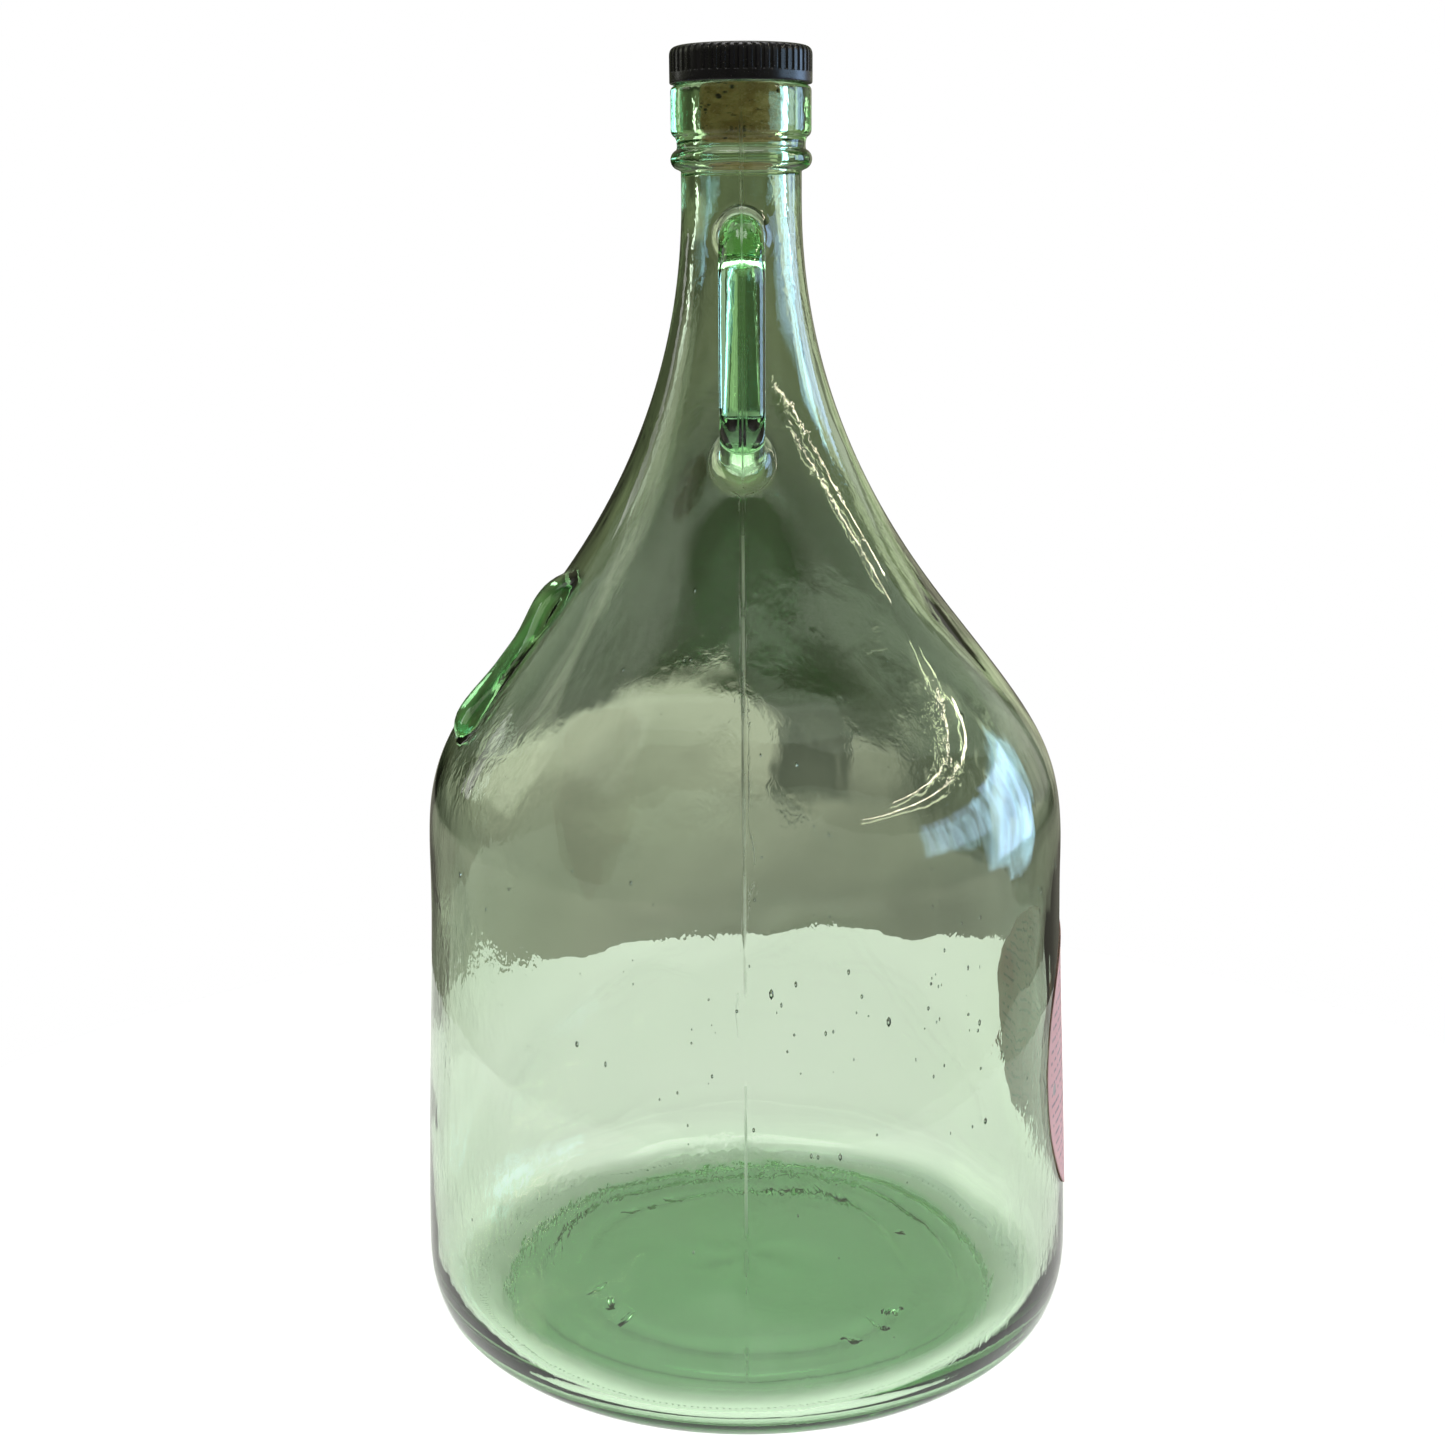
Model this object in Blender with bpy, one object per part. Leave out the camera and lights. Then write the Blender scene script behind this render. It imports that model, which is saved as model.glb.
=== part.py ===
"""A five litre glass carboy with a finger loop on its neck, its T-shaped stopper and a paper label.

Metres, +Z up. The origin is the centre of the ring that the carboy stands on. The finger loop faces -Y,
the low shoulder grip faces -X, turned a little to the front, and the label is on +X.
"""

import math

import bmesh
import bpy
from mathutils import Vector

MM = 0.001

# A curve's reach is how far its handle lies from its end, as in a drawing program.

# Standing ring and heel
PUSH_UP = 5.0 * MM  # how far the middle of the underside is off the table
PUSH_UP_FLAT_REACH = 30.0 * MM
PUSH_UP_EDGE = (70.0 * MM, 1.2 * MM)  # radius, height
PUSH_UP_EDGE_REACH = (-20.0 * MM, 2.4 * MM)
RING_INNER_R = 73.0 * MM
RING_OUTER_R = 80.0 * MM
RING_REACH = 10.0 * MM
HEEL_R = 95.4 * MM
HEEL_HEIGHT = 22.0 * MM
HEEL_REACH = 14.0 * MM

# Body, shoulder and neck
SIDE_LOW_REACH = 28.0 * MM
SIDE_HIGH_REACH = 29.0 * MM
BODY_TOP_R = 91.1 * MM
SHOULDER_START = 139.0 * MM
SHOULDER_REACH = 29.5 * MM
BEND_R = 59.9 * MM  # where the shoulder's outward curve turns into the neck's inward one
BEND_HEIGHT = 208.3 * MM
BEND_SLOPE = 0.79  # radius lost for each unit of height at the bend
BEND_REACH_DOWN = 35.3 * MM
BEND_REACH_UP = 20.7 * MM
NECK_R = 16.4 * MM
NECK_TOP = 323.0 * MM
NECK_REACH = 56.3 * MM

# Finish: the bead, the groove above it and the plain band under the rim
BEAD_R = 2.8 * MM
BEAD_HEIGHT = 333.3 * MM
GROOVE_R = 17.4 * MM
GROOVE_HEIGHT = 337.2 * MM
BAND_R = 19.0 * MM
BAND_START = 340.9 * MM
BAND_EDGE_R = 2.0 * MM
RIM_HEIGHT = 352.6 * MM
RIM_OUTER_EDGE_R = 1.6 * MM
RIM_INNER_EDGE_R = 1.0 * MM

# Hollow
BORE_R = 11.6 * MM
BORE_END = 326.0 * MM
NECK_WALL = 3.6 * MM
BODY_WALL = 3.0 * MM
NECK_WALL_FROM = 260.0 * MM
BODY_WALL_UNTIL = 150.0 * MM
HOLLOW_NECK_TOP = 310.0 * MM
INNER_HEEL_TOP = 26.0 * MM
INNER_HEEL_REACH = 14.0 * MM
FLOOR_EDGE = (80.0 * MM, 6.0 * MM)  # radius, height
FLOOR_EDGE_REACH_OUT = 9.0 * MM
FLOOR_EDGE_REACH_IN = 20.0 * MM
FLOOR_MIDDLE = 11.5 * MM
FLOOR_MIDDLE_REACH = 40.0 * MM

# Finger loop on the neck
LOOP_BAR_R = 6.0 * MM
LOOP_REACH = 44.0 * MM  # from the carboy's axis to the middle of the upright bar
LOOP_TOP = 312.8 * MM
LOOP_BOTTOM = 259.5 * MM
LOOP_BEND_R = 11.0 * MM
LOOP_ROOT_R = 7.6 * MM
LOOP_UPPER_ROOT = (13.8 * MM, 313.2 * MM)  # distance from the axis, height
LOOP_LOWER_ROOT = (28.6 * MM, 253.4 * MM)

# Low grip on the shoulder
GRIP_TURN = math.radians(195)  # from +X anticlockwise, seen from above
GRIP_HALF_WIDTH = 10.0 * MM
GRIP_DEPTH = 1.5 * MM  # how far its middle line lies under the glass surface
GRIP_HUMPS = ((184.0 * MM, 13.0 * MM, 3.4 * MM), (214.0 * MM, 12.0 * MM, 4.1 * MM))  # height, reach, rise
GRIP_SADDLE = 1.8 * MM
GRIP_START = 173.5 * MM
GRIP_END = 221.5 * MM
GRIP_END_ROUND = 6.0 * MM

# Stopper
FIT_GAP = 0.3 * MM
HEAD_R = 19.25 * MM
HEAD_HEIGHT = 10.4 * MM
HEAD_EDGE_R = 2.6 * MM
HEAD_DOME = 0.7 * MM
SMOOTH_BAND_HEIGHT = 2.6 * MM
RIB_COUNT = 52
RIB_DEPTH = 0.55 * MM
RIBS_TOP_BELOW_EDGE = 2.2 * MM
RECESS_R = 11.7 * MM
RECESS_DEPTH = 2.4 * MM
GLUE_THICKNESS = 0.6 * MM
CORK_R = 11.2 * MM
CORK_LENGTH = 15.6 * MM
CORK_TAPER = 0.4 * MM
CORK_CHAMFER = 0.9 * MM

# Label
LABEL_R = 41.0 * MM
LABEL_HEIGHT = 78.0 * MM
LABEL_THICKNESS = 0.3 * MM

ROUND_STEPS = 48


def bezier(start, start_handle, end_handle, end, steps):
    """Points along a cubic curve, both ends included."""
    points = []
    for step in range(steps + 1):
        t = step / steps
        s = 1 - t
        weights = (s**3, 3 * s * s * t, 3 * s * t * t, t**3)
        corners = (start, start_handle, end_handle, end)
        points.append(tuple(sum(w * c[axis] for w, c in zip(weights, corners)) for axis in (0, 1)))
    return points


def arc(centre, radius, start_degrees, end_degrees, steps):
    """Points along an arc, both ends included."""
    points = []
    for step in range(steps + 1):
        angle = math.radians(start_degrees + (end_degrees - start_degrees) * step / steps)
        points.append((centre[0] + radius * math.cos(angle), centre[1] + radius * math.sin(angle)))
    return points


def blend(low, high, value):
    """0 up to low, 1 from high on, and a smooth step in between."""
    t = min(max((value - low) / (high - low), 0.0), 1.0)
    return t * t * (3 - 2 * t)


def side_outline(shoulder_steps=9, neck_steps=12):
    """The outer side as (radius, height) from the top of the heel to the top of the neck."""
    side = bezier(
        (HEEL_R, HEEL_HEIGHT),
        (HEEL_R, HEEL_HEIGHT + SIDE_LOW_REACH),
        (BODY_TOP_R, SHOULDER_START - SIDE_HIGH_REACH),
        (BODY_TOP_R, SHOULDER_START),
        5,
    )
    shoulder = bezier(
        (BODY_TOP_R, SHOULDER_START),
        (BODY_TOP_R, SHOULDER_START + SHOULDER_REACH),
        (BEND_R + BEND_SLOPE * BEND_REACH_DOWN, BEND_HEIGHT - BEND_REACH_DOWN),
        (BEND_R, BEND_HEIGHT),
        shoulder_steps,
    )
    neck = bezier(
        (BEND_R, BEND_HEIGHT),
        (BEND_R - BEND_SLOPE * BEND_REACH_UP, BEND_HEIGHT + BEND_REACH_UP),
        (NECK_R, NECK_TOP - NECK_REACH),
        (NECK_R, NECK_TOP),
        neck_steps,
    )
    return side + shoulder[1:] + neck[1:]


def underside_outline():
    """The pushed-up middle, the standing ring and the heel."""
    edge_handle = (PUSH_UP_EDGE[0] + PUSH_UP_EDGE_REACH[0], PUSH_UP_EDGE[1] + PUSH_UP_EDGE_REACH[1])
    dome = bezier((0, PUSH_UP), (PUSH_UP_FLAT_REACH, PUSH_UP), edge_handle, PUSH_UP_EDGE, 4)
    heel = bezier(
        (RING_OUTER_R, 0),
        (RING_OUTER_R + RING_REACH, 0),
        (HEEL_R, HEEL_HEIGHT - HEEL_REACH),
        (HEEL_R, HEEL_HEIGHT),
        6,
    )
    return dome + [(RING_INNER_R, 0)] + heel[:-1]


def finish_outline():
    """The bead, groove, band and rim, from the top of the neck to the top of the rim."""
    bead_centre = (NECK_R, BEAD_HEIGHT)
    band_centre = (BAND_R - BAND_EDGE_R, BAND_START)
    outer_edge_centre = (BAND_R - RIM_OUTER_EDGE_R, RIM_HEIGHT - RIM_OUTER_EDGE_R)
    inner_edge_centre = (BORE_R + RIM_INNER_EDGE_R, RIM_HEIGHT - RIM_INNER_EDGE_R)
    return (
        arc(bead_centre, BEAD_R, -75, 65, 6)
        + [(GROOVE_R, GROOVE_HEIGHT)]
        + arc(band_centre, BAND_EDGE_R, -70, 0, 3)
        + arc(outer_edge_centre, RIM_OUTER_EDGE_R, 0, 90, 3)
        + arc(inner_edge_centre, RIM_INNER_EDGE_R, 90, 180, 2)
    )


def wall_at(height):
    neck_share = blend(BODY_WALL_UNTIL, NECK_WALL_FROM, height)
    return BODY_WALL + (NECK_WALL - BODY_WALL) * neck_share


def hollow_outline():
    """The inside from the bottom of the bore to the middle of the floor."""
    outer = side_outline(7, 9)
    inner = []
    for before, point, after in zip(outer, outer[1:], outer[2:]):
        along = Vector((after[0] - before[0], after[1] - before[1])).normalized()
        inwards = Vector((-along.y, along.x))
        inner.append(tuple(Vector(point) + inwards * wall_at(point[1])))
    upright = [p for p in reversed(inner) if INNER_HEEL_TOP < p[1] < HOLLOW_NECK_TOP]
    inner_r = HEEL_R - BODY_WALL
    heel = bezier(
        (inner_r, INNER_HEEL_TOP),
        (inner_r, INNER_HEEL_TOP - INNER_HEEL_REACH),
        (FLOOR_EDGE[0] + FLOOR_EDGE_REACH_OUT, FLOOR_EDGE[1]),
        FLOOR_EDGE,
        4,
    )
    floor = bezier(
        FLOOR_EDGE,
        (FLOOR_EDGE[0] - FLOOR_EDGE_REACH_IN, FLOOR_EDGE[1]),
        (FLOOR_MIDDLE_REACH, FLOOR_MIDDLE),
        (0, FLOOR_MIDDLE),
        4,
    )
    return upright + heel + floor[1:]


def new_object(name, shape, material):
    """Turns a bmesh into an object with outward faces and smooth shading."""
    bmesh.ops.recalc_face_normals(shape, faces=shape.faces)
    mesh = bpy.data.meshes.new(name)
    shape.to_mesh(mesh)
    shape.free()
    mesh.shade_smooth()
    mesh.set_sharp_from_angle(angle=math.radians(40))
    if material:
        mesh.materials.append(material)
    piece = bpy.data.objects.new(name, mesh)
    bpy.context.scene.collection.objects.link(piece)
    return piece


def skin(rings, capped=False):
    """A bmesh with faces between neighbouring rings. A ring of one point is a tip."""
    shape = bmesh.new()
    made = [[shape.verts.new(point) for point in ring] for ring in rings]
    if capped:
        shape.faces.new(made[0])
        shape.faces.new(made[-1])
    for low, high in zip(made, made[1:]):
        count = max(len(low), len(high))
        for i in range(count):
            j = (i + 1) % count
            if len(low) == 1:
                corners = (low[0], high[i], high[j])
            elif len(high) == 1:
                corners = (low[i], low[j], high[0])
            else:
                corners = (low[i], low[j], high[j], high[i])
            shape.faces.new(corners)
    return shape


def turned(name, outline, material, steps=ROUND_STEPS):
    """A solid of revolution about Z from an outline that starts and ends on the axis."""
    rings = []
    for radius, height in outline:
        if radius == 0:
            rings.append([(0, 0, height)])
            continue
        turns = [math.tau * step / steps for step in range(steps)]
        rings.append([(radius * math.cos(a), radius * math.sin(a), height) for a in turns])
    return new_object(name, skin(rings), material)


def swept(name, path, half_sizes, across, sides):
    """A tube along path. Each half size is (across, outwards); across is the same direction all along."""
    rings = []
    for i, point in enumerate(path):
        before = path[max(i - 1, 0)]
        after = path[min(i + 1, len(path) - 1)]
        along = (after - before).normalized()
        outwards = along.cross(across)
        half_across, half_outwards = half_sizes[i]
        ring = []
        for side in range(sides):
            angle = math.tau * side / sides
            step_across = across * (half_across * math.cos(angle))
            step_outwards = outwards * (half_outwards * math.sin(angle))
            ring.append(point + step_across + step_outwards)
        rings.append(ring)
    return new_object(name, skin(rings, capped=True), None)


def make_helper(piece):
    piece.hide_render = True
    piece.display_type = "WIRE"


def finger_loop():
    """The round bar that leaves the neck, turns down and comes back lower on the neck."""
    bend_top = (LOOP_REACH - LOOP_BEND_R, LOOP_TOP - LOOP_BEND_R)
    bend_low = (LOOP_REACH - LOOP_BEND_R, LOOP_BOTTOM + LOOP_BEND_R)
    leg_angle = math.degrees(
        math.atan2(LOOP_BOTTOM - LOOP_LOWER_ROOT[1], LOOP_REACH - LOOP_BEND_R - LOOP_LOWER_ROOT[0])
    )
    outline = [LOOP_UPPER_ROOT, (NECK_R + 2 * MM, LOOP_TOP + 0.3 * MM), (NECK_R + 7 * MM, LOOP_TOP)]
    outline += arc(bend_top, LOOP_BEND_R, 90, 0, 6)
    outline += arc(bend_low, LOOP_BEND_R, 0, -90 + leg_angle, 6)
    outline += [LOOP_LOWER_ROOT]
    path = [Vector((0, -reach, height)) for reach, height in outline]
    sizes = [(LOOP_BAR_R, LOOP_BAR_R)] * len(path)
    sizes[0] = (LOOP_ROOT_R, LOOP_ROOT_R)
    sizes[1] = (LOOP_BAR_R + 0.6 * MM, LOOP_BAR_R + 0.6 * MM)
    sizes[-1] = (LOOP_ROOT_R, LOOP_ROOT_R)
    loop = swept("finger_loop_shape", path, sizes, Vector((1, 0, 0)), 16)
    make_helper(loop)
    return loop


def grip_rise(height):
    """How far the shoulder grip stands off the glass at this height."""
    rise = GRIP_SADDLE
    for hump_height, reach, hump_rise in GRIP_HUMPS:
        share = 1 - blend(0, reach, abs(height - hump_height))
        rise = max(rise, GRIP_SADDLE + (hump_rise - GRIP_SADDLE) * share)
    return rise


def grip_end_share(height):
    """1 along the grip, falling to 0 at both tips along a quarter circle."""
    from_tip = min(height - GRIP_START, GRIP_END - height)
    missing = max(1 - from_tip / GRIP_END_ROUND, 0.0)
    return math.sqrt(1 - missing**2)


def shoulder_grip():
    """The low ridge down the shoulder, with a hump at each end."""
    side = [p for p in side_outline(24, 30) if GRIP_START < p[1] < GRIP_END]
    path = []
    sizes = []
    for i, point in enumerate(side):
        before = side[max(i - 1, 0)]
        after = side[min(i + 1, len(side) - 1)]
        along = Vector((after[0] - before[0], after[1] - before[1])).normalized()
        middle = Vector(point) + Vector((-along.y, along.x)) * GRIP_DEPTH
        path.append(Vector((middle.x * math.cos(GRIP_TURN), middle.x * math.sin(GRIP_TURN), middle.y)))
        share = grip_end_share(point[1])
        sizes.append((GRIP_HALF_WIDTH * share, (GRIP_DEPTH + grip_rise(point[1])) * share))
    across = Vector((math.sin(GRIP_TURN), -math.cos(GRIP_TURN), 0))
    grip = swept("shoulder_grip_shape", path, sizes, across, 16)
    make_helper(grip)
    return grip


def glass_vessel(material):
    outline = underside_outline() + side_outline() + finish_outline() + [(BORE_R, BORE_END)] + hollow_outline()
    vessel = turned("glass_vessel", outline, material)
    for helper in (finger_loop(), shoulder_grip()):
        join = vessel.modifiers.new("join_" + helper.name, "BOOLEAN")
        join.operation = "UNION"
        join.object = helper
    return vessel


def stopper_head(material):
    """The black plastic top: a smooth band below, ribs above, a soft edge and a slightly domed top."""
    bottom = RIM_HEIGHT + FIT_GAP
    top = bottom + HEAD_HEIGHT
    edge = (HEAD_R - HEAD_EDGE_R, top - HEAD_DOME - HEAD_EDGE_R)
    ribs_top = top - HEAD_DOME - RIBS_TOP_BELOW_EDGE
    steps = RIB_COUNT * 2
    outline = [
        (0, bottom + RECESS_DEPTH, False),
        (RECESS_R, bottom + RECESS_DEPTH, False),
        (RECESS_R, bottom, False),
        (HEAD_R - 0.3 * MM, bottom, False),
        (HEAD_R, bottom + 0.3 * MM, False),
        (HEAD_R, bottom + SMOOTH_BAND_HEIGHT, False),
        (HEAD_R, bottom + SMOOTH_BAND_HEIGHT + 0.3 * MM, True),
        (HEAD_R, ribs_top, True),
    ]
    outline += [(r, z, False) for r, z in arc(edge, HEAD_EDGE_R, 30, 80, 3)]
    outline += [(HEAD_R * 0.5, top - HEAD_DOME * 0.25, False), (0, top, False)]
    rings = []
    for radius, height, ribbed in outline:
        if radius == 0:
            rings.append([(0, 0, height)])
            continue
        ring = []
        for step in range(steps):
            angle = math.tau * step / steps
            reach = radius - RIB_DEPTH if ribbed and step % 2 else radius
            ring.append((reach * math.cos(angle), reach * math.sin(angle), height))
        rings.append(ring)
    return new_object("stopper_head", skin(rings), material)


def glue_disc(material):
    top = RIM_HEIGHT + FIT_GAP + RECESS_DEPTH - FIT_GAP
    bottom = top - GLUE_THICKNESS
    radius = CORK_R - 1 * MM
    return turned("glue_disc", [(0, bottom), (radius, bottom), (radius, top), (0, top)], material, 32)


def cork_shank(material):
    top = RIM_HEIGHT + FIT_GAP + RECESS_DEPTH - FIT_GAP - GLUE_THICKNESS - FIT_GAP
    bottom = top - CORK_LENGTH
    low_r = CORK_R - CORK_TAPER
    outline = [
        (0, bottom),
        (low_r - CORK_CHAMFER, bottom),
        (low_r, bottom + CORK_CHAMFER),
        (CORK_R, top - CORK_CHAMFER),
        (CORK_R, top),
        (0, top),
    ]
    return turned("cork_shank", outline, material, 32)


def side_radius_at(height, side):
    """The body's outer radius at this height."""
    for low, high in zip(side, side[1:]):
        if low[1] <= height <= high[1]:
            share = (height - low[1]) / (high[1] - low[1])
            return low[0] + (high[0] - low[0]) * share
    raise ValueError("the label reaches past the body's side")


def paper_label(material, ring_count=5, sides=40):
    """A round label wrapped on the body's side, facing +X."""
    side = side_outline()
    shape = bmesh.new()
    layers = []
    for lift in (FIT_GAP, FIT_GAP + LABEL_THICKNESS):
        rings = []
        for ring in range(ring_count + 1):
            ring_r = LABEL_R * ring / ring_count
            points = []
            for step in range(sides if ring else 1):
                angle = math.tau * step / sides
                height = LABEL_HEIGHT + ring_r * math.sin(angle)
                radius = side_radius_at(height, side)
                turn = ring_r * math.cos(angle) / radius
                reach = radius + lift
                points.append(shape.verts.new((reach * math.cos(turn), reach * math.sin(turn), height)))
            rings.append(points)
        layers.append(rings)
    for rings in layers:
        for i in range(sides):
            j = (i + 1) % sides
            shape.faces.new((rings[0][0], rings[1][i], rings[1][j]))
            for inner, outer in zip(rings[1:], rings[2:]):
                shape.faces.new((inner[i], inner[j], outer[j], outer[i]))
    under_edge = layers[0][-1]
    upper_edge = layers[1][-1]
    for i in range(sides):
        j = (i + 1) % sides
        shape.faces.new((under_edge[i], under_edge[j], upper_edge[j], upper_edge[i]))
    return new_object("paper_label", shape, material)


def make_material(name, colour, roughness, transmission=0.0):
    material = bpy.data.materials.new(name)
    material.use_nodes = True
    shader = material.node_tree.nodes["Principled BSDF"]
    shader.inputs["Base Color"].default_value = (*colour, 1)
    shader.inputs["Roughness"].default_value = roughness
    shader.inputs["Metallic"].default_value = 0.0
    shader.inputs["Transmission Weight"].default_value = transmission
    return material


def main():
    for old in list(bpy.data.objects):
        bpy.data.objects.remove(old)
    vessel = glass_vessel(make_material("pale_green_glass", (0.55, 0.74, 0.56), 0.05, 1.0))
    label = paper_label(make_material("pink_paper", (0.90, 0.56, 0.58), 0.85))
    label.parent = vessel
    stopper = bpy.data.objects.new("stopper", None)
    stopper.location = (0, 0, 0)
    bpy.context.scene.collection.objects.link(stopper)
    pieces = (
        stopper_head(make_material("black_plastic", (0.012, 0.011, 0.012), 0.35)),
        glue_disc(make_material("clear_glue", (0.75, 0.68, 0.50), 0.4)),
        cork_shank(make_material("cork", (0.42, 0.24, 0.10), 0.9)),
    )
    for piece in pieces:
        piece.parent = stopper


main()
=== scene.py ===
"""Looks of the glass carboy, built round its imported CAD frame. Metres, +Z up, the finger loop faces -Y."""

import math

import bmesh
import bpy
import numpy as np
from mathutils import Euler, Matrix, Vector, noise


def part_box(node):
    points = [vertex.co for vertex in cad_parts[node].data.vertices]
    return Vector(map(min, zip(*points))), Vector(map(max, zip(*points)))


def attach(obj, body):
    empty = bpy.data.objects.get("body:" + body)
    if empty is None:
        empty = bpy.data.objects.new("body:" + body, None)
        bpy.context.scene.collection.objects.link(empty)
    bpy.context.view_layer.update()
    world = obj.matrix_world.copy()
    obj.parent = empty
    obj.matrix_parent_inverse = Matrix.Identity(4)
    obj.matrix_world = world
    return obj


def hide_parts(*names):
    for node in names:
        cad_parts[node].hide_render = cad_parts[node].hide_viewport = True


MM = 0.001
TAU = math.tau

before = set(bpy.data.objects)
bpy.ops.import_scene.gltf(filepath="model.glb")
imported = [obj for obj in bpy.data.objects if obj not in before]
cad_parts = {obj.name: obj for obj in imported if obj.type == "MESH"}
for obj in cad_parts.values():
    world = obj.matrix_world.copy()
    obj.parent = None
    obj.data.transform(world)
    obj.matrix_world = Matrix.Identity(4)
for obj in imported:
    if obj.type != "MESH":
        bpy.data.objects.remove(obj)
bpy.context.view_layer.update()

# Heights that the pieces share with the CAD frame
glass_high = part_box("glass_vessel")[1]
head_low, head_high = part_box("stopper_head")
cork_low, cork_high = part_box("cork_shank")
glue_low, glue_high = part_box("glue_disc")
label_low, label_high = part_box("paper_label")

BODY_R = glass_high.x

# Outer shape, as in the CAD
RING_INNER_R = 73.0 * MM
RING_OUTER_R = 80.0 * MM
HEEL_HEIGHT = 22.0 * MM
BODY_TOP_R = 91.1 * MM
SHOULDER_START = 139.0 * MM
BEND_R = 59.9 * MM
BEND_HEIGHT = 208.3 * MM
BEND_SLOPE = 0.79
NECK_R = 16.4 * MM
NECK_TOP = 323.0 * MM
BORE_R = 11.6 * MM
BORE_END = 326.0 * MM

# Inner shape, as in the CAD
BODY_WALL = 3.0 * MM
NECK_EXTRA_WALL = 0.6 * MM
FLOOR_EDGE = (80 * MM, 6 * MM)
FLOOR_MIDDLE = 11.5 * MM


# ---------------------------------------------------------------- curves


def bezier(start, start_handle, end_handle, end, steps):
    """Points along a cubic curve as an array, both ends included."""
    t = np.linspace(0, 1, steps + 1)[:, None]
    s = 1 - t
    corners = [np.array(c, float) for c in (start, start_handle, end_handle, end)]
    return s**3 * corners[0] + 3 * s * s * t * corners[1] + 3 * s * t * t * corners[2] + t**3 * corners[3]


def arc(centre, radius, start_degrees, end_degrees, steps):
    """Points along part of a circle, both ends included."""
    angles = np.radians(np.linspace(start_degrees, end_degrees, steps + 1))
    return np.stack([centre[0] + radius * np.cos(angles), centre[1] + radius * np.sin(angles)], 1)


def straight(start, end, steps):
    """Points along a straight line, both ends included."""
    t = np.linspace(0, 1, steps + 1)[:, None]
    return (1 - t) * np.array(start, float) + t * np.array(end, float)


def chain(*curves):
    """The curves end to end, with a shared point kept once."""
    points = [curves[0]]
    for curve in curves[1:]:
        gap = np.linalg.norm(curve[0] - points[-1][-1])
        points.append(curve[1:] if gap < 1e-7 else curve)
    return np.concatenate(points)


def smooth_step(low, high, value):
    t = np.clip((value - low) / (high - low), 0, 1)
    return t * t * (3 - 2 * t)


def side_curve(body_steps, shoulder_steps, neck_steps):
    """The outer side from the heel to the foot of the finish, as (distance from the axis, height)."""
    body = bezier(
        (BODY_R, HEEL_HEIGHT),
        (BODY_R, HEEL_HEIGHT + 28 * MM),
        (BODY_TOP_R, SHOULDER_START - 29 * MM),
        (BODY_TOP_R, SHOULDER_START),
        body_steps,
    )
    shoulder = bezier(
        (BODY_TOP_R, SHOULDER_START),
        (BODY_TOP_R, SHOULDER_START + 29.5 * MM),
        (BEND_R + BEND_SLOPE * 35.3 * MM, BEND_HEIGHT - 35.3 * MM),
        (BEND_R, BEND_HEIGHT),
        shoulder_steps,
    )
    neck = bezier(
        (BEND_R, BEND_HEIGHT),
        (BEND_R - BEND_SLOPE * 20.7 * MM, BEND_HEIGHT + 20.7 * MM),
        (NECK_R, NECK_TOP - 56.3 * MM),
        (NECK_R, NECK_TOP),
        neck_steps,
    )
    return chain(body, shoulder, neck)


def outer_profile():
    """From the middle of the underside out over the heel, up the side and over the rim."""
    dome = bezier((0, 5 * MM), (30 * MM, 5 * MM), (50 * MM, 3.6 * MM), (70 * MM, 1.2 * MM), 30)
    ring = chain(
        bezier((70 * MM, 1.2 * MM), (71.3 * MM, 1.0 * MM), (71.8 * MM, 0), (RING_INNER_R, 0), 4),
        straight((RING_INNER_R, 0), (RING_OUTER_R, 0), 5),
    )
    heel = bezier((RING_OUTER_R, 0), (90 * MM, 0), (BODY_R, 8 * MM), (BODY_R, HEEL_HEIGHT), 18)
    bead_low = straight((NECK_R, NECK_TOP), (NECK_R, 330.2 * MM), 5)
    bead = arc((NECK_R, 333.3 * MM), 2.8 * MM, -75, 65, 12)
    groove = bezier(bead[-1], (17.35 * MM, 336.3 * MM), (17.3 * MM, 337.6 * MM), (17.7 * MM, 338.8 * MM), 5)
    band_foot = arc((17.0 * MM, 340.9 * MM), 2.0 * MM, -62, 0, 5)
    band = straight((19 * MM, 340.9 * MM), (19 * MM, 351.0 * MM), 7)
    rim_outer = arc((17.4 * MM, 351.0 * MM), 1.6 * MM, 0, 90, 6)
    rim_inner = arc((12.6 * MM, 351.6 * MM), 1.0 * MM, 90, 180, 5)
    rim = chain(rim_outer, rim_inner)
    return chain(dome, ring, heel, side_curve(34, 38, 50), bead_low, bead, groove, band_foot, band, rim)


def inner_profile():
    """From the bore down the inside to the middle of the floor."""
    outer = side_curve(18, 22, 34)
    along = np.gradient(outer, axis=0)
    along /= np.linalg.norm(along, axis=1)[:, None]
    inwards = np.stack([-along[:, 1], along[:, 0]], 1)
    wall = BODY_WALL + NECK_EXTRA_WALL * smooth_step(150 * MM, 260 * MM, outer[:, 1])
    inner = outer + inwards * wall[:, None]
    inner = inner[(inner[:, 1] > 28 * MM) & (inner[:, 1] < 310 * MM)][::-1]
    bore = straight((BORE_R, 351.6 * MM), (BORE_R, BORE_END), 14)
    bore_foot = bezier((BORE_R, BORE_END), (BORE_R, 320 * MM), inner[0] + (0, 6 * MM), inner[0], 7)
    inner_r = BODY_R - BODY_WALL
    heel = bezier((inner_r, 26 * MM), (inner_r, 12 * MM), (89 * MM, 6 * MM), FLOOR_EDGE, 12)
    floor = bezier(FLOOR_EDGE, (60 * MM, 6 * MM), (40 * MM, FLOOR_MIDDLE), (0, FLOOR_MIDDLE), 24)
    return chain(bore[1:], bore_foot, inner, heel, floor)


SIDE = side_curve(200, 200, 260)


def side_radius(height):
    """How far the plain outer side is from the axis."""
    return np.interp(height, SIDE[:, 1], SIDE[:, 0])


def side_slope(height):
    step = 0.5 * MM
    return (side_radius(height + step) - side_radius(height - step)) / (2 * step)


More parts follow.
